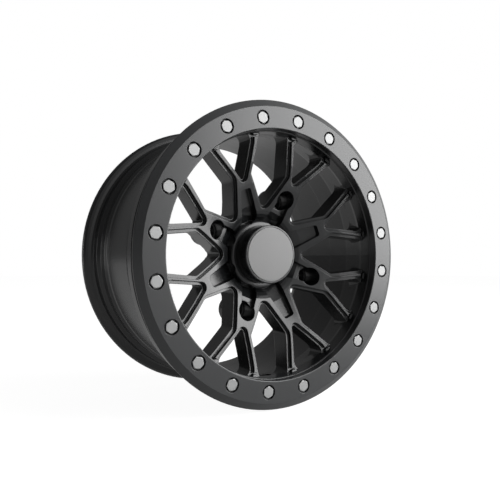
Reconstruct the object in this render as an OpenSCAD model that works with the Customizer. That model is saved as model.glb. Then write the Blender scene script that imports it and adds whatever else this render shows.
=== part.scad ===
// Beadlock wheel for an off-road vehicle: a cast wheel with eight forked spokes,
// a bolted clamp ring for the outer tyre bead, and a snap-in centre cap.
// Each shape is drawn flat, as seen from the outboard side, with its depth
// measured back from the ring's front face. wheel_frame() then stands it up.

/* [Wheel] */
// Depth from the ring's front face to the hub mounting face
hub_depth = 82; // [80:0.5:86]
// Depth from the ring's front face to the back of the rear flange
wheel_depth = 216; // [208:1:226]
// Diameter of the rear flange
flange_d = 386.4; // [384:0.2:392]
// Diameter of the barrel's bore at the spokes
bore_d = 308; // [306:0.5:309]
// Wall of the barrel in the drop well
barrel_wall = 6; // [5:0.5:7]

/* [Beadlock ring] */
// Outer diameter of the ring
ring_d = 383; // [381:0.5:386]
// Inner diameter of the ring
ring_bore_d = 310.6; // [309.5:0.1:312]
// Thickness of the ring under its bolts
ring_t = 10; // [9.5:0.5:12]
// Diameter of the flat front face, where the outer bevel starts
ring_face_d = 365; // [362:0.5:370]
// Depth of the outer bevel
ring_bevel = 6; // [3:0.5:7]
// Relief behind the ring's rim, where it bears on the tyre bead
bead_relief = 2; // [1:0.5:3]

/* [Ring bolts] */
// Number of ring bolts
bolt_count = 20; // [16:1:20]
// Diameter of the ring's bolt circle
bolt_circle_d = 338; // [336:0.5:340]
// Nominal diameter of a bolt
bolt_d = 8; // [6:1:8]
// Width of a bolt head across its flats
head_af = 13; // [11:0.5:13]
// Height of a bolt head
head_h = 5.3; // [4:0.1:5.5]
// Length of a bolt under its head
bolt_l = 25; // [20:1:30]
// Diameter of the counterbore round a bolt head
counterbore_d = 18; // [17:0.5:19]
// Turn of the bolts relative to the spokes
bolt_turn = 1.4; // [0:0.1:3]

/* [Spokes] */
// Number of forked spokes
spoke_count = 8; // [8:1:8]
// Width of a branch's crest at the barrel
crest_w = 3.4; // [2.5:0.1:5]
// Width of a spoke at its fork
fork_w = 21; // [20:0.5:24]
// Distance of the fork's shoulders from the axle
fork_u = 106; // [103:0.5:108]
// Distance of the notch between two branches from the axle
notch_u = 90; // [89:0.5:92]
// Distance of the notch between two spokes from the axle
valley_u = 52.5; // [51:0.5:54]
// Angle from a spoke's axis to the end of a branch
branch_angle = 12.2; // [11.5:0.1:13]
// Width of the ledge cut along every window
ledge_w = 4.2; // [3:0.1:4.6]
// Drop from a crest to the ledge
ledge_drop = 4.7; // [4:0.1:6]
// Depth of the crest where it meets the barrel
crest_rim_depth = 18.3; // [17:0.1:20]
// Depth of the crest near the hub
crest_hub_depth = 46.8; // [46:0.1:48]
// Rise of the crest above a straight line, half way along it
crest_arch = 2.8; // [2:0.1:3.5]
// Thickness of a spoke at the barrel
spoke_rim_t = 30; // [24:0.5:34]

/* [Hub] */
// Diameter of the lug circle
lug_circle_d = 156; // [154:0.5:158]
// Number of lug holes
lug_count = 4; // [4:1:4]
// Diameter of a lug hole through the mounting pad
lug_hole_d = 13.5; // [12.5:0.1:15]
// Diameter of the socket well round a lug nut
lug_well_d = 24.4; // [23:0.2:26]
// Thickness of the pad under a lug nut
lug_pad_t = 14; // [12:0.5:16]
// Diameter of the boss behind a lug hole
lug_boss_d = 36; // [33:0.5:38]
// Diameter of the pilot bore that centres the wheel on the axle
pilot_d = 115; // [110:0.5:118]
// Depth of the pilot bore
pilot_depth = 8; // [6:0.5:9]
// Diameter of the bore that holds the centre cap
cap_bore_d = 68; // [66:0.5:70]
// Diameter of the collar round the centre cap
collar_d = 83; // [80:0.5:86]
// Depth of the collar's front face
collar_depth = 52; // [51:0.5:54]
// Width of a spoke pocket at its outer end
pocket_tip_w = 15; // [13:0.5:16]
// Width of a spoke pocket at the collar
pocket_hub_w = 28; // [25:0.5:29]
// Distance of a spoke pocket's outer end from the axle
pocket_u = 89; // [87:0.5:90]

/* [Centre cap] */
// Diameter of the cap's drum
cap_d = 75.4; // [74:0.2:78]
// Depth of the cap's front rim
cap_depth = 28.8; // [24:0.1:34]
// Diameter of the disc let into the cap's face
disc_d = 70.4; // [60:0.2:71]
// Thickness of that disc
disc_t = 1.6; // [1.2:0.1:2.2]
// Wall of the cap
cap_wall = 2.4; // [2:0.1:3]
// Number of snap fingers
finger_count = 8; // [6:1:10]
// Length of a snap finger behind the drum
finger_l = 12; // [10:0.5:13]
// Wire diameter of the spring ring
wire_d = 2; // [1.5:0.1:2.5]

/* [Valve] */
// Diameter of the valve hole
valve_d = 11.5; // [11:0.1:12]
// Depth of the valve hole's mouth inside the barrel
valve_depth = 44; // [43:0.5:46]
// Wall that the valve seals on
valve_wall = 6; // [4:0.5:8]

/* [Hidden] */
$fn = 96;

satin_black = "#2c2d2f";
cap_black = "#3a3b3d";
zinc = "#c9cbcc";
spring_steel = "#8d9093";

fit_gap = 0.3;
thread_gap = 0.1;
disc_gap = 0.3;
disc_proud = 0.4;
bore_r = bore_d / 2;
bolt_circle_r = bolt_circle_d / 2;
bolt_step = 360 / bolt_count;
spoke_step = 360 / spoke_count;
first_spoke = spoke_step / 2;
lug_step = 360 / lug_count;
first_lug = first_spoke + spoke_step;
valve_angle = -90;
valve_slant = 35;

// The front seat of the casting, and the shoulder that centres the ring
seat_r = 177.2;
seat_edge = 1.2;
// The lip behind the tyre bead
lip_r = seat_r + 10.3;
lip_depth = ring_t + 12;
lip_t = 15;
// The rear bead seat and its humps
bead_r = 180.2;
bead_taper = 1.4;
flange_r = flange_d / 2;
flange_t = 10;
seat_w = 14;
hump_r = bead_r - 6;
hump_w = 16;
well_r = 169;

// Points of a revolved section, given as radius and depth
function section(points) = [for (p = points) [p.x, -p.y]];

function unit(v) = v / norm(v);

// An arc that rounds the corner p between its neighbours a and b
function corner_arc(a, p, b, r, steps) =
    let (
        u = unit(a - p),
        v = unit(b - p),
        half = acos(u * v) / 2,
        c = p + unit(u + v) * r / sin(half),
        s = p + u * r / tan(half) - c,
        e = p + v * r / tan(half) - c,
        from = atan2(s.y, s.x),
        turn = (atan2(e.y, e.x) - from + 540) % 360 - 180
    )
    [for (k = [0:steps]) c + r * [cos(from + turn * k / steps), sin(from + turn * k / steps)]];

// An outline with each corner rounded to its own radius, and a sharp one left as it is
function rounded(points, radii, steps = 5) =
    let (n = len(points))
    [for (i = [0:n - 1])
        each (radii[i] <= 0 ? [points[i]]
            : corner_arc(points[(i + n - 1) % n], points[i], points[(i + 1) % n], radii[i], steps))];

// The outline moved inwards by g, for an outline that runs anticlockwise
function inset(points, g) =
    let (n = len(points))
    [for (i = [0:n - 1])
        let (
            before = unit(points[i] - points[(i + n - 1) % n]),
            after = unit(points[(i + 1) % n] - points[i]),
            n1 = [-before.y, before.x],
            n2 = [-after.y, after.x]
        )
        points[i] + g * (n1 + n2) / (1 + n1 * n2)];

// Where a line from p along d meets the circle of radius r round the axle
function reach(p, d, r) =
    let (along = p * d)
    p + d * (sqrt(along * along - p * p + r * r) - along);

function turned(p, a) = [p.x * cos(a) - p.y * sin(a), p.x * sin(a) + p.y * cos(a)];

// Mirrors an outline that starts and ends on the X axis
function mirrored(points) = [
    for (p = points) [p.x, -p.y],
    for (i = [len(points) - 1:-1:0]) if (abs(points[i].y) > 0.001) points[i]
];

// The crest of one branch, from the fork's shoulder and notch to the barrel
branch_end = bore_r * [cos(branch_angle), sin(branch_angle)];
shoulder = [fork_u, fork_w / 2];
outer_side = unit(branch_end + [0, crest_w / 2] - shoulder);
inner_side = unit(branch_end - [0, crest_w / 2] - [notch_u, 0]);
disc_r = bore_r + 6;
cut_r = disc_r + 2;
pad_r = 68;
rim_round = 14;
notch_round = 7;
valley_round = 9;
shoulder_round = 11;
// A groove across each crest just short of the barrel
end_groove_r = bore_r - 4.4;
end_groove_w = 2.2;

// Depth of the crest at a distance r from the axle
hub_r = 58;
function crest_depth(r) =
    let (t = (r - hub_r) / (bore_r - hub_r))
    crest_hub_depth - (crest_hub_depth - crest_rim_depth) * t - 4 * crest_arch * t * (1 - t);

// Points along the crest's arch, dropped by some depth
crest_steps = [hub_r, 74, 94, 120, disc_r];
function crest_line(drop) = [for (r = crest_steps) [r, crest_depth(r) + drop]];

// The window between the two branches of one spoke, with the spoke along +X
notch_window = mirrored([[notch_u, 0], reach([notch_u, 0], inner_side, cut_r), [cut_r + 0.6, 0]]);
notch_radii = [notch_round, rim_round, 0, rim_round];

// The window between two spokes, with its middle along +X
valley_shoulder = turned(shoulder, -spoke_step / 2);
valley_side = turned(outer_side, -spoke_step / 2);
valley_window = mirrored([
    [valley_u, 0],
    [valley_shoulder.x, -valley_shoulder.y],
    let (p = reach(valley_shoulder, valley_side, cut_r)) [p.x, -p.y],
    [cut_r + 0.6, 0]
]);
valley_radii = [valley_round, shoulder_round, rim_round, 0, rim_round, shoulder_round];

ring_back = ring_t - bead_relief;
head_depth = 0.2;
pad_depth = hub_depth - lug_pad_t;
lug_seat_angle = 60;
cone_r = 10.5;
cone_h = (cone_r - lug_hole_d / 2) / tan(lug_seat_angle / 2);
finger_r = cap_bore_d / 2 - fit_gap;
finger_t = 2;
finger_slot = 3;
bead_h = 0.9;
groove_depth = collar_depth + finger_l - 2.5;
groove_w = 3;

// Stands the flat drawing up, with the hub mounting face at the origin
module wheel_frame() {
    translate([0, -hub_depth, 0])
        rotate([90, 0, 0])
            children();
}

// Revolves a section about the axle
module revolved(points) {
    rotate_extrude()
        polygon(section(points));
}

// A round bar or hole along the axle's direction, from one depth to another
module bar(d, from, to) {
    translate([0, 0, -to])
        cylinder(d = d, h = to - from);
}

// An outline cut from one depth to another
module slab(points, from, to) {
    translate([0, 0, -to])
        linear_extrude(to - from)
            polygon(points);
}

module at_bolts() {
    for (i = [0:bolt_count - 1])
        rotate(bolt_turn + bolt_step * (i + 0.5))
            translate([bolt_circle_r, 0, 0])
                children();
}

// Puts the first shape at every spoke's axis and the second one between the spokes
module at_windows() {
    for (i = [0:spoke_count - 1]) {
        rotate(first_spoke + spoke_step * i)
            children(0);
        rotate(spoke_step * i)
            children(1);
    }
}

module at_lugs() {
    for (i = [0:lug_count - 1])
        rotate(first_lug + lug_step * i)
            translate([lug_circle_d / 2, 0, 0])
                children();
}

// Barrel with the ring's seat in front, the tyre cavity outside and the rear flange
module barrel() {
    seat_back = wheel_depth - flange_t;
    inner_seam = 105;
    inner_band = 64;
    hump_at = seat_back - seat_w;
    hump_end = hump_at - 4 - hump_w;
    revolved([
        [bore_r, ring_t + seat_edge],
        [bore_r + seat_edge, ring_t],
        [seat_r - seat_edge, ring_t],
        [seat_r, ring_t + seat_edge],
        [seat_r, lip_depth],
        [lip_r - 2, lip_depth],
        [lip_r, lip_depth + 2],
        [lip_r, lip_depth + lip_t - 2],
        [lip_r - 2, lip_depth + lip_t],
        [well_r + 3, lip_depth + lip_t + 42],
        [well_r, lip_depth + lip_t + 58],
        [well_r + 2, hump_end - 8],
        [well_r + 2.6, hump_end - 4],
        [hump_r, hump_end],
        [hump_r, hump_at - 4],
        [bead_r - bead_taper, hump_at],
        [bead_r, seat_back - 3],
        [bead_r + 2.5, seat_back - 0.6],
        [bead_r + 6, seat_back],
        [flange_r - 3.2, seat_back + 1.5],
        [flange_r - 0.8, seat_back + 4],
        [flange_r, seat_back + 6.5],
        [flange_r, wheel_depth - 1.2],
        [flange_r - 1.2, wheel_depth],
        [bead_r - 1, wheel_depth],
        [bead_r - 2.8, wheel_depth - 4],
        [bead_r - 7, wheel_depth - 12],
        [hump_r - barrel_wall - 1.5, hump_at],
        [well_r - barrel_wall + 2, hump_end - 6],
        [well_r - barrel_wall, inner_seam + 1],
        [well_r - barrel_wall - 1.2, inner_seam - 1],
        [bore_r + 6.4, inner_band + 2],
        [bore_r + 5.6, inner_band - 2],
        [bore_r + 1.4, 32],
        [bore_r, 27]
    ]);
}

// Solid disc between hub and barrel that the windows leave as spokes
module spoke_disc() {
    back_r = 105;
    revolved([
        [0, hub_depth + 2],
        [0, collar_depth],
        [collar_d / 2 - 1.8, collar_depth],
        [collar_d / 2 - 0.6, collar_depth + 0.5],
        [collar_d / 2, collar_depth + 1.8],
        [collar_d / 2, collar_depth + 8],
        [collar_d / 2 + 2, collar_depth + 9.4],
        [collar_d / 2 + 5.5, collar_depth + 7],
        [hub_r - 7.5, crest_hub_depth + 5.6],
        [hub_r - 4, crest_hub_depth + 2.6],
        each crest_line(0),
        [disc_r, crest_depth(disc_r) + spoke_rim_t],
        [back_r, hub_depth - 19],
        [pad_r + 16, hub_depth - 11],
        [pad_r + 3, hub_depth - 4],
        [pad_r - 1.5, hub_depth + 2]
    ]);
}

// The part of a window that goes right through, inside its ledge
module through_window(outline, radii) {
    tight = [for (r = radii) r <= 0 ? 0 : max(1.5, r - ledge_w)];
    slab(rounded(inset(outline, ledge_w), tight), -1, wheel_depth);
}

// Space in front of the ledge that runs round every window, and the groove at the crests' ends
module above_ledge() {
    inner_r = hub_r - 12;
    outer_r = disc_r + 6;
    intersection() {
        revolved([
            [inner_r, crest_depth(inner_r) + ledge_drop],
            each crest_line(ledge_drop),
            [outer_r, crest_depth(outer_r) + ledge_drop],
            [outer_r, 0],
            [inner_r, 0]
        ]);
        union() {
            at_windows() {
                slab(rounded(notch_window, notch_radii), -1, hub_depth);
                slab(rounded(valley_window, valley_radii), -1, hub_depth);
            }
            difference() {
                bar(2 * (end_groove_r + end_groove_w), -1, hub_depth);
                bar(2 * end_groove_r, -2, hub_depth + 1);
            }
        }
    }
}

// Tapered pocket along a spoke's crest, open to the collar
module spoke_pocket() {
    start = collar_d / 2 - 5;
    outline = [
        [start, -pocket_hub_w / 2],
        [pocket_u, -pocket_tip_w / 2],
        [pocket_u, pocket_tip_w / 2],
        [start, pocket_hub_w / 2]
    ];
    floor_fall = 6;
    intersection() {
        slab(rounded(outline, [0, 3.5, 3.5, 0]), 0, hub_depth);
        revolved([
            [collar_d / 2, collar_depth + 13],
            [collar_d / 2 + 5, collar_depth + 13],
            [collar_d / 2 + 10, collar_depth + 9.5],
            [hub_r + 8, crest_depth(hub_r + 8) + 8],
            [pocket_u + 4, crest_depth(pocket_u) + floor_fall],
            [pocket_u + 4, 0],
            [collar_d / 2, 0]
        ]);
    }
}

// Socket well, cone seat and clearance hole of one lug
module lug_hole() {
    revolved([
        [0, 0],
        [lug_well_d / 2, 0],
        [lug_well_d / 2, pad_depth],
        [cone_r, pad_depth],
        [lug_hole_d / 2, pad_depth + cone_h],
        [lug_hole_d / 2, hub_depth + 1],
        [0, hub_depth + 1]
    ]);
}

// Bore for the centre cap, with a groove for its snap fingers, and the pilot bore
module hub_bore() {
    r = cap_bore_d / 2;
    groove_r = r + bead_h + 0.2;
    revolved([
        [0, 0],
        [r, 0],
        [r, groove_depth - groove_w / 2],
        [groove_r, groove_depth - groove_w / 2],
        [groove_r, groove_depth + groove_w / 2],
        [r, groove_depth + groove_w / 2],
        [r, hub_depth - pilot_depth],
        [pilot_d / 2, hub_depth - pilot_depth],
        [pilot_d / 2, hub_depth + 1],
        [0, hub_depth + 1]
    ]);
}

// Slanted hole from the barrel's bore to the tyre cavity, sunk from the cavity side
module valve_hole() {
    seat = 4.6;
    mouth_r = bore_r + 3.1;
    rotate(valve_angle)
        translate([mouth_r, 0, -valve_depth])
            rotate([0, 90 + valve_slant, 0]) {
                translate([0, 0, seat - 20])
                    cylinder(d = valve_d + 6, h = 20);
                cylinder(d = valve_d, h = 40);
                translate([0, 0, seat + valve_wall])
                    cylinder(d = 2 * valve_d, h = 40);
            }
}

module wheel_casting() {
    color(satin_black)
        wheel_frame()
            difference() {
                union() {
                    difference() {
                        spoke_disc();
                        at_windows() {
                            through_window(notch_window, notch_radii);
                            through_window(valley_window, valley_radii);
                        }
                        above_ledge();
                        for (i = [0:spoke_count - 1])
                            rotate(first_spoke + spoke_step * i)
                                spoke_pocket();
                    }
                    barrel();
                    at_lugs() bar(lug_boss_d, crest_depth(lug_circle_d / 2) + 14, hub_depth + 2);
                }
                // Faces the pad and the bosses in one cut
                bar(lug_circle_d + 2 * lug_boss_d, hub_depth, hub_depth + 4);
                at_lugs() lug_hole();
                hub_bore();
                valve_hole();
                at_bolts() bar(bolt_d + 2 * thread_gap, ring_t - 1, head_h + bolt_l + 4);
            }
}

module beadlock_ring() {
    ring_r = ring_d / 2;
    inner_r = ring_bore_d / 2;
    color(satin_black)
        wheel_frame()
            difference() {
                revolved([
                    [inner_r, 1],
                    [inner_r + 0.4, 0.3],
                    [inner_r + 1, 0],
                    [ring_face_d / 2, 0],
                    [ring_r - 0.5, ring_bevel - 0.6],
                    [ring_r, ring_bevel],
                    [ring_r, ring_back - 0.5],
                    [ring_r - 0.5, ring_back],
                    [seat_r + 1, ring_back],
                    [seat_r, ring_t],
                    [inner_r, ring_t]
                ]);
                at_bolts() {
                    bar(counterbore_d, -1, head_depth + head_h);
                    bar(bolt_d + 1, 0, ring_t + 1);
                }
            }
}

// Hex bolt with a chamfered head
module ring_bolt() {
    corner_r = head_af / 2 / cos(30);
    chamfer = corner_r - head_af / 2;
    under = head_depth + head_h;
    intersection() {
        translate([0, 0, -under])
            cylinder(r = corner_r, h = head_h, $fn = 6);
        revolved([
            [0, under],
            [corner_r + 0.1, under],
            [corner_r + 0.1, head_depth + chamfer * 0.6],
            [head_af / 2 - 0.2, head_depth],
            [0, head_depth]
        ]);
    }
    bar(bolt_d, under, under + bolt_l - 1);
    translate([0, 0, -under - bolt_l])
        cylinder(h = 1, d1 = bolt_d - 2, d2 = bolt_d);
}

module ring_bolts() {
    color(zinc)
        wheel_frame()
            at_bolts() ring_bolt();
}

// One moulded drum with a flange that bears on the collar and snap fingers behind it
module centre_cap() {
    r = cap_d / 2;
    recess_r = disc_d / 2 + disc_gap;
    recess_depth = cap_depth - disc_proud + disc_t;
    tip = collar_depth + finger_l;
    color(cap_black)
        wheel_frame()
            difference() {
                revolved([
                    [0, recess_depth],
                    [recess_r, recess_depth],
                    [recess_r, cap_depth],
                    [r - 1.6, cap_depth],
                    [r - 0.8, cap_depth + 0.2],
                    [r - 0.2, cap_depth + 0.8],
                    [r, cap_depth + 1.6],
                    [r, collar_depth],
                    [finger_r, collar_depth],
                    [finger_r, groove_depth - 1],
                    [finger_r + bead_h, groove_depth],
                    [finger_r, tip],
                    [finger_r - finger_t, tip],
                    [finger_r - finger_t, collar_depth - 4],
                    [r - cap_wall, collar_depth - 8],
                    [r - cap_wall, recess_depth + cap_wall],
                    [0, recess_depth + cap_wall]
                ]);
                for (i = [0:finger_count - 1])
                    rotate(360 / finger_count * i)
                        translate([cap_bore_d / 2 - 5, -finger_slot / 2, -tip - 1])
                            cube([8, finger_slot, finger_l - 1]);
            }
}

// Plain disc let into the cap's face, just proud of its rim
module cap_disc() {
    front = cap_depth - disc_proud;
    color(cap_black)
        wheel_frame()
            revolved([
                [0, front],
                [disc_d / 2 - 0.5, front],
                [disc_d / 2, front + 0.5],
                [disc_d / 2, front + disc_t],
                [0, front + disc_t]
            ]);
}

// Split wire ring that presses the snap fingers outwards
module cap_spring() {
    ring_r = finger_r - finger_t - wire_d / 2;
    color(spring_steel)
        wheel_frame()
            translate([0, 0, -groove_depth])
                rotate(4)
                    rotate_extrude(angle = 352)
                        translate([ring_r, 0])
                            circle(d = wire_d, $fn = 32);
}

wheel_casting();
beadlock_ring();
ring_bolts();
centre_cap();
cap_disc();
cap_spring();
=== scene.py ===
import math

import bmesh
import bpy
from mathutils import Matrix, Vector


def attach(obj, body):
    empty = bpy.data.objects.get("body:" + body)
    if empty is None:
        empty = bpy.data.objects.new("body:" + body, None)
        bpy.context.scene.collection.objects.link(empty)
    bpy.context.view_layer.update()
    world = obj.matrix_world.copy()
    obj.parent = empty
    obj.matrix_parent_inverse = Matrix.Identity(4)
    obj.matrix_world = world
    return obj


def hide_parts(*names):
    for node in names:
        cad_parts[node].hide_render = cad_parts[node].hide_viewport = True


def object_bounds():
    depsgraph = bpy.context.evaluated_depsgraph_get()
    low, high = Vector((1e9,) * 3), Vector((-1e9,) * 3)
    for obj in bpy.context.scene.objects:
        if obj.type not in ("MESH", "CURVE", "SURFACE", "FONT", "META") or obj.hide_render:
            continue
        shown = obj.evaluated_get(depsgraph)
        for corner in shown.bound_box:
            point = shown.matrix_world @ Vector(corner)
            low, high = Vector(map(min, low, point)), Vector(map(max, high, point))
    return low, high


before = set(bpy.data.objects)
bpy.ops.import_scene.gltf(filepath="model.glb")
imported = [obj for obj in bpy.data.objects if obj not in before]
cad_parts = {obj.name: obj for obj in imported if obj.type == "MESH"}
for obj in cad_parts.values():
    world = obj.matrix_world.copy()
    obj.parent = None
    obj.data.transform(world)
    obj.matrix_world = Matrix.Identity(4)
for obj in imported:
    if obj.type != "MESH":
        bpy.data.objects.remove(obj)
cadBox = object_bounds()
scene = bpy.context.scene
print("frame loaded:", ", ".join(sorted(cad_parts)))

mmPerMetre = 1000.0
bevelSamples = 12
mixDark, mixLight, mixResult = 6, 7, 2  # sockets of a colour mix: its two colours and its result


# Hex sRGB to linear, by the standard curve
def linear(hexColour):
    parts = [int(hexColour[i:i + 2], 16) / 255 for i in (1, 3, 5)]
    return tuple(c / 12.92 if c <= 0.04045 else ((c + 0.055) / 1.055) ** 2.4 for c in parts) + (1.0,)


def perMetre(sizeMm):
    return mmPerMetre / sizeMm


# A setting named like a socket, or given by its number, goes on that socket
def addNode(tree, kind, settings=None, links=None):
    node = tree.nodes.new(kind)
    for name, value in (settings or {}).items():
        if isinstance(name, int) or name in node.inputs:
            node.inputs[name].default_value = value
        else:
            setattr(node, name, value)
    for name, source in (links or {}).items():
        tree.links.new(source, node.inputs[name])
    return node


def newMaterial(name):
    material = bpy.data.materials.new(name)
    material.use_nodes = True
    material.node_tree.nodes.clear()
    return material, material.node_tree


def finishMaterial(tree, shader):
    addNode(tree, "ShaderNodeOutputMaterial", {}, {"Surface": shader.outputs[0]})


# Skin of one piece: a faintly clouded colour, a fine grain, and every edge rounded over
def pieceSkin(name, look, shineBy, settings):
    material, tree = newMaterial(name)
    place = addNode(tree, "ShaderNodeTexCoord").outputs["Object"]
    pattern = {}
    for part in ("cloud", "grain"):
        pattern[part] = addNode(tree, "ShaderNodeTexNoise",
                                {"Scale": perMetre(look[part + "Mm"]), "Detail": look[part + "Detail"]},
                                {"Vector": place}).outputs["Fac"]
    colour = addNode(tree, "ShaderNodeMix",
                     {"data_type": "RGBA", mixDark: linear(look["dark"]),
                      mixLight: linear(look["light"])}, {"Factor": pattern["cloud"]})
    shine = addNode(tree, "ShaderNodeMapRange",
                    {"To Min": look["roughness"][0], "To Max": look["roughness"][1]},
                    {"Value": pattern[shineBy]})
    edge = addNode(tree, "ShaderNodeBevel",
                   {"samples": bevelSamples, "Radius": look["edgeMm"] / mmPerMetre})
    bump = addNode(tree, "ShaderNodeBump",
                   {"Strength": look["bump"], "Distance": look["grainDepthMm"] / mmPerMetre},
                   {"Height": pattern["grain"], "Normal": edge.outputs["Normal"]})
    shader = addNode(tree, "ShaderNodeBsdfPrincipled", settings,
                     {"Base Color": colour.outputs[mixResult], "Roughness": shine.outputs["Result"],
                      "Normal": bump.outputs["Normal"]})
    finishMaterial(tree, shader)
    return material


# Powder coat, lacquer and moulded nylon: the colour lies under a soft clear sheen
def satinCoat(name, look):
    return pieceSkin(name, look, "grain", {"IOR": look["ior"]})


# Plated and tempered steel: the colour lies in the reflection itself
def bareMetal(name, look):
    return pieceSkin(name, look, "cloud", {"Metallic": 1.0})


# Casting, polyester powder coat baked on: a deep black with a satin sheen and a faint orange peel
castingLook = {
    "dark": "#1c1d1e",
    "light": "#232425",
    "roughness": (0.21, 0.27),
    "ior": 1.5,
    "cloudMm": 60.0,
    "cloudDetail": 3.0,
    "grainMm": 2.4,  # real orange peel is about 1 mm, drawn coarser so that it shows
    "grainDetail": 2.0,
    "grainDepthMm": 0.02,
    "bump": 0.1,
    "edgeMm": 1.1,  # radius that every edge is rounded to
}

# Clamp ring, the same coat over a machined face: flatter, with tighter edges, and drawn a touch greyer
# than the casting as painted light, so that its flat face looks lit
ringLook = dict(castingLook, dark="#333435", light="#393a3b", roughness=(0.28, 0.33), bump=0.2,
                edgeMm=0.6)

# Ring bolts, bright zinc plate on rolled steel: pale, faintly cloudy, with a soft metal shine
boltLook = {
    "dark": "#868788",
    "light": "#969695",
    "roughness": (0.54, 0.62),
    "cloudMm": 6.0,
    "cloudDetail": 4.0,
    "grainMm": 1.6,
    "grainDetail": 2.0,
    "grainDepthMm": 0.01,
    "bump": 0.2,
    "edgeMm": 0.35,
}

# Cap's drum, moulded nylon: nearly as dark as the coat, with small crisp edges
capLook = dict(castingLook, dark="#232425", light="#292a2b", edgeMm=0.15, grainMm=2.0)

# Cap's disc, satin lacquer on a moulding: a plain even grey that shows the whole glow of the key lamp
discLook = dict(castingLook, dark="#676767", light="#6e6e6e", roughness=(0.3, 0.36), edgeMm=0.3,
                grainMm=1.8)

# Spring wire, drawn and oil tempered: a dull dark grey
wireLook = dict(boltLook, dark="#4f5255", light="#64676a", roughness=(0.42, 0.5), edgeMm=0.1)

finishes = {
    "wheel_casting": satinCoat("satin_black_powder_coat", castingLook),
    # the ring's coat is a lighter copy of the casting's: painted light on its face
    "beadlock_ring": satinCoat("satin_black_powder_coat_on_ring_with_painted_light", ringLook),
    "ring_bolts": bareMetal("bright_zinc_plate", boltLook),
    "centre_cap": satinCoat("moulded_black_nylon", capLook),
    "cap_disc": satinCoat("satin_grey_lacquer", discLook),
    "cap_spring": bareMetal("tempered_spring_wire", wireLook),
}
for node, material in finishes.items():
    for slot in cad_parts[node].material_slots:
        slot.material = material
print("finishes laid on", len(finishes), "nodes")

# Lengths of the scene's own pieces are in millimetres, and depths are measured back from the
# ring's front face
hubDepth = 82.0  # depth at which the frame's origin lies
weldDistance = 1e-7  # metres
sharpAngle = 30  # degrees between faces that stay a crisp edge


def turnedPoint(radius, depth, angle):
    return (radius * math.cos(angle) / mmPerMetre, (depth - hubDepth) / mmPerMetre,
            radius * math.sin(angle) / mmPerMetre)


def finishPiece(name, mesh, material):
    bmesh.ops.remove_doubles(mesh, verts=mesh.verts, dist=weldDistance)
    bmesh.ops.recalc_face_normals(mesh, faces=mesh.faces)
    made = bpy.data.meshes.new(name)
    mesh.to_mesh(made)
    mesh.free()
    made.shade_smooth()
    made.set_sharp_from_angle(angle=math.radians(sharpAngle))
    made.materials.append(material)
    piece = bpy.data.objects.new(name, made)
    scene.collection.objects.link(piece)
    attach(piece, "root")
    print(name, "made")
    return piece


# A closed profile turned about the axle, cut back where reachAt gives less than its radius
def turnedMesh(profile, turns, reachAt=None):
    mesh = bmesh.new()
    rings = []
    for i in range(turns):
        angle = math.tau * i / turns
        reach = reachAt(angle) if reachAt else math.inf
        rings.append([mesh.verts.new(turnedPoint(min(r, reach), depth, angle)) for r, depth in profile])
    for i, ring in enumerate(rings):
        after = rings[(i + 1) % turns]
        for k in range(len(profile)):
            n = (k + 1) % len(profile)
            if profile[k][0] > 0 or profile[n][0] > 0:  # an edge on the axle turns into no face
                mesh.faces.new((ring[k], ring[n], after[n], after[k]))
    return mesh


# Collar round the cap's foot: a rounded shoulder with a scallop at each spoke, laid over the
# casting's plain one
collarShape = {
    "innerRadius": 38.0,
    "radius": 46.0,
    "faceDepth": 51.85,
    "footDepth": 66.0,
    "shoulder": (4.7, 6.4),  # width and depth of the rounded shoulder
    "shoulderSteps": 9,
    "spokes": 8,
    "scallopRadius": 9.0,
    "scallopBite": 3.2,
    "turns": 720,
}


# Distance from the axle to the scallop's wall, in a direction that meets one
def scallopReach(angle):
    step = math.tau / collarShape["spokes"]
    off = angle % step - step / 2
    centre = collarShape["radius"] - collarShape["scallopBite"] + collarShape["scallopRadius"]
    inside = collarShape["scallopRadius"] ** 2 - (centre * math.sin(off)) ** 2
    return math.inf if inside <= 0 else centre * math.cos(off) - math.sqrt(inside)


def collarProfile(shape):
    width, fall = shape["shoulder"]
    profile = [(shape["innerRadius"], shape["footDepth"]), (shape["innerRadius"], shape["faceDepth"])]
    for i in range(shape["shoulderSteps"] + 1):
        along = math.pi / 2 * i / shape["shoulderSteps"]
        profile.append((shape["radius"] - width + width * math.sin(along),
                        shape["faceDepth"] + fall - fall * math.cos(along)))
    return profile + [(shape["radius"], shape["footDepth"])]


finishPiece("hub_collar", turnedMesh(collarProfile(collarShape), collarShape["turns"], scallopReach),
            finishes["wheel_casting"])

# Floor of the pockets that end at a lug: steep out of the moat, then nearly flat, over the edge
# of the lug's boss
pocketShape = {
    "profile": [(51.5, 61.6), (60.0, 52.85), (65.5, 51.7), (65.5, 53.6), (51.5, 64.2)],  # radius, depth
    "lugs": 4,
    "firstLug": 67.5,  # degrees
    "wideRadius": 36.5,
    "halfWidth": 15.1,  # at wideRadius
    "narrowing": 0.1238,  # of the half width, for each millimetre outwards
}


def pocketFloors(shape):
    mesh = bmesh.new()
    count = len(shape["profile"])
    for i in range(shape["lugs"]):
        angle = math.radians(shape["firstLug"] + 360 / shape["lugs"] * i)
        sides = []
        for sign in (-1, 1):
            side = []
            for r, depth in shape["profile"]:
                across = sign * (shape["halfWidth"] - (r - shape["wideRadius"]) * shape["narrowing"])
                side.append(mesh.verts.new(turnedPoint(math.hypot(r, across), depth,
                                                       angle + math.atan2(across, r))))
            sides.append(side)
        for k in range(count):
            n = (k + 1) % count
            mesh.faces.new((sides[0][k], sides[0][n], sides[1][n], sides[1][k]))
        mesh.faces.new(sides[0])
        mesh.faces.new(reversed(sides[1]))
    return mesh


finishPiece("pocket_floors", pocketFloors(pocketShape), finishes["wheel_casting"])

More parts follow.
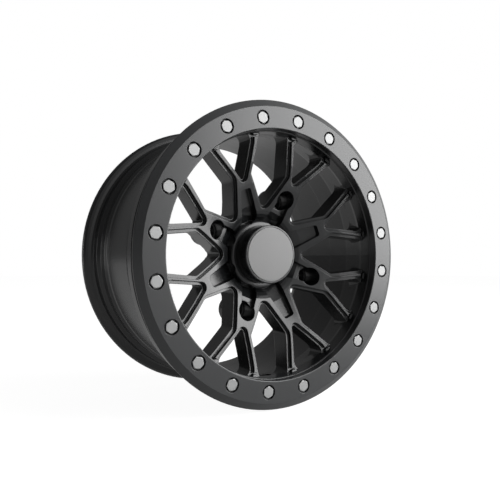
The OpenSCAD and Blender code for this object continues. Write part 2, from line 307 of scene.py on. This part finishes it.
# Disc in the cap's face, a little smaller than its recess, so that the joint round it shows dark
discShape = {
    "radius": 34.6,
    "front": 28.4,
    "back": 30.0,
    "round": 0.35,
    "roundMiddle": 0.3,  # place of the round's middle point, as a share of the round
    "flatTo": 3.0,  # rounds between the rim and the loop that keeps the face's shading flat
    "turns": 256,
}


def discProfile(shape):
    radius, front, back, corner = (shape[key] for key in ("radius", "front", "back", "round"))
    middle = shape["roundMiddle"] * corner
    return [(0, back), (0, front), (radius - shape["flatTo"] * corner, front), (radius - corner, front),
            (radius - middle, front + middle), (radius, front + corner), (radius, back)]


disc = finishPiece("face_disc", turnedMesh(discProfile(discShape), discShape["turns"]),
                   finishes["cap_disc"])
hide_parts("cap_disc")

# Camera: level, in front of the wheel and to its left
cameraView = {
    "place": (-0.37517, -0.61693, -0.00694),  # metres
    "turn": (90.9982, -0.0262, -31.4319),  # degrees
    "sensor": 36,
    "lens": 37.918,
    "shift": (-0.0013, 0.0013),
}
cameraData = bpy.data.cameras.new("camera")
cameraData.sensor_width = cameraView["sensor"]
cameraData.lens = cameraView["lens"]
cameraData.shift_x, cameraData.shift_y = cameraView["shift"]
camera = bpy.data.objects.new("camera", cameraData)
camera.location = cameraView["place"]
camera.rotation_euler = [math.radians(a) for a in cameraView["turn"]]
scene.collection.objects.link(camera)
scene.camera = camera

# Lamps: a large soft key in front and to the right, and a dim one behind and to the left for the
# outside of the barrel. Direction from the wheel, distance and size in metres, power in watts
lamps = {
    "keyBox": {"towards": (0.76, -0.59, 0.235), "distance": 1.9, "size": (1.88, 1.85), "watts": 71.0},
    "barrelFill": {"towards": (-0.86, 0.42, -0.28), "distance": 1.6, "size": (0.8, 1.6), "watts": 9.0},
}
for name, lamp in lamps.items():
    data = bpy.data.lights.new(name, "AREA")
    data.shape = "RECTANGLE"
    data.size, data.size_y = lamp["size"]
    data.energy = lamp["watts"]
    light = bpy.data.objects.new(name, data)
    towards = Vector(lamp["towards"]).normalized()
    light.location = towards * lamp["distance"]
    light.rotation_euler = towards.to_track_quat("Z", "Y").to_euler()
    scene.collection.objects.link(light)


# 1 for the rays that a glossy or a clear surface sends out, and 0 for others
def mirroredRays(tree, path):
    return addNode(tree, "ShaderNodeMath", {"operation": "MAXIMUM"},
                   {0: path.outputs["Is Glossy Ray"], 1: path.outputs["Is Transmission Ray"]}).outputs[0]


# World: white to the camera. To reflections it is a sweep, white in front and to the right of the
# wheel and dim to the left and behind, and to all other rays a share of the same sweep
worldLook = {
    "white": "#ffffff",
    "sweep": (0.75, -0.66, 0.0),
    "ends": (-0.1, 0.85),  # where the sweep is dim and where it is white, along its direction
    "dim": 0.17,
    "level": 0.4,
}
world = bpy.data.worlds.new("studio")
scene.world = world
world.use_nodes = True
tree = world.node_tree
tree.nodes.clear()
path = addNode(tree, "ShaderNodeLightPath")
level = addNode(tree, "ShaderNodeMapRange", {"To Min": worldLook["level"], "To Max": 1.0},
                {"Value": mirroredRays(tree, path)})
side = addNode(tree, "ShaderNodeVectorMath", {"operation": "DOT_PRODUCT", 1: worldLook["sweep"]},
               {0: addNode(tree, "ShaderNodeTexCoord").outputs["Generated"]})
sweep = addNode(tree, "ShaderNodeMapRange",
                {"interpolation_type": "SMOOTHSTEP", "From Min": worldLook["ends"][0],
                 "From Max": worldLook["ends"][1], "To Min": worldLook["dim"], "To Max": 1.0},
                {"Value": side.outputs["Value"]})
lit = addNode(tree, "ShaderNodeMath", {"operation": "MULTIPLY"},
              {0: level.outputs["Result"], 1: sweep.outputs["Result"]})
strength = addNode(tree, "ShaderNodeMath", {"operation": "MAXIMUM"},
                   {0: lit.outputs[0], 1: path.outputs["Is Camera Ray"]})
sky = addNode(tree, "ShaderNodeBackground", {"Color": linear(worldLook["white"])},
              {"Strength": strength.outputs[0]})
addNode(tree, "ShaderNodeOutputWorld", {}, {"Surface": sky.outputs[0]})

# Floor, matt white board just under the wheel: it keeps the wheel's soft shadow. It glows to the
# camera, and less in reflections, so that it runs into the white world
floorLook = {
    "colour": "#8a8a8a",  # darker than it looks, because the glow lies on top of it
    "glow": 0.95,
    "mirroredGlow": 0.42,
    "radius": 6.0,  # metres
    "gap": 0.0005,  # metres under the wheel
    "sides": 96,
}
low = cadBox[0][2] - floorLook["gap"]
corners = []
for i in range(floorLook["sides"]):
    angle = math.tau * i / floorLook["sides"]
    corners.append((floorLook["radius"] * math.cos(angle), floorLook["radius"] * math.sin(angle), low))
floorMesh = bpy.data.meshes.new("floor")
floorMesh.from_pydata(corners, [], [list(range(floorLook["sides"]))])
floor = bpy.data.objects.new("floor", floorMesh)
scene.collection.objects.link(floor)
material, tree = newMaterial("matt_white_floor")
path = addNode(tree, "ShaderNodeLightPath")
mirroredGlow = addNode(tree, "ShaderNodeMath", {"operation": "MULTIPLY", 1: floorLook["mirroredGlow"]},
                       {0: mirroredRays(tree, path)})
seenGlow = addNode(tree, "ShaderNodeMath", {"operation": "MULTIPLY", 1: floorLook["glow"]},
                   {0: path.outputs["Is Camera Ray"]})
glow = addNode(tree, "ShaderNodeMath", {"operation": "MAXIMUM"},
               {0: seenGlow.outputs[0], 1: mirroredGlow.outputs[0]})
paint = addNode(tree, "ShaderNodeBsdfDiffuse", {"Color": linear(floorLook["colour"])})
lift = addNode(tree, "ShaderNodeEmission", {}, {"Strength": glow.outputs[0]})
finishMaterial(tree, addNode(tree, "ShaderNodeAddShader", {}, {0: paint.outputs[0], 1: lift.outputs[0]}))
floorMesh.materials.append(material)
print("studio set")

scene.view_settings.view_transform = "Standard"
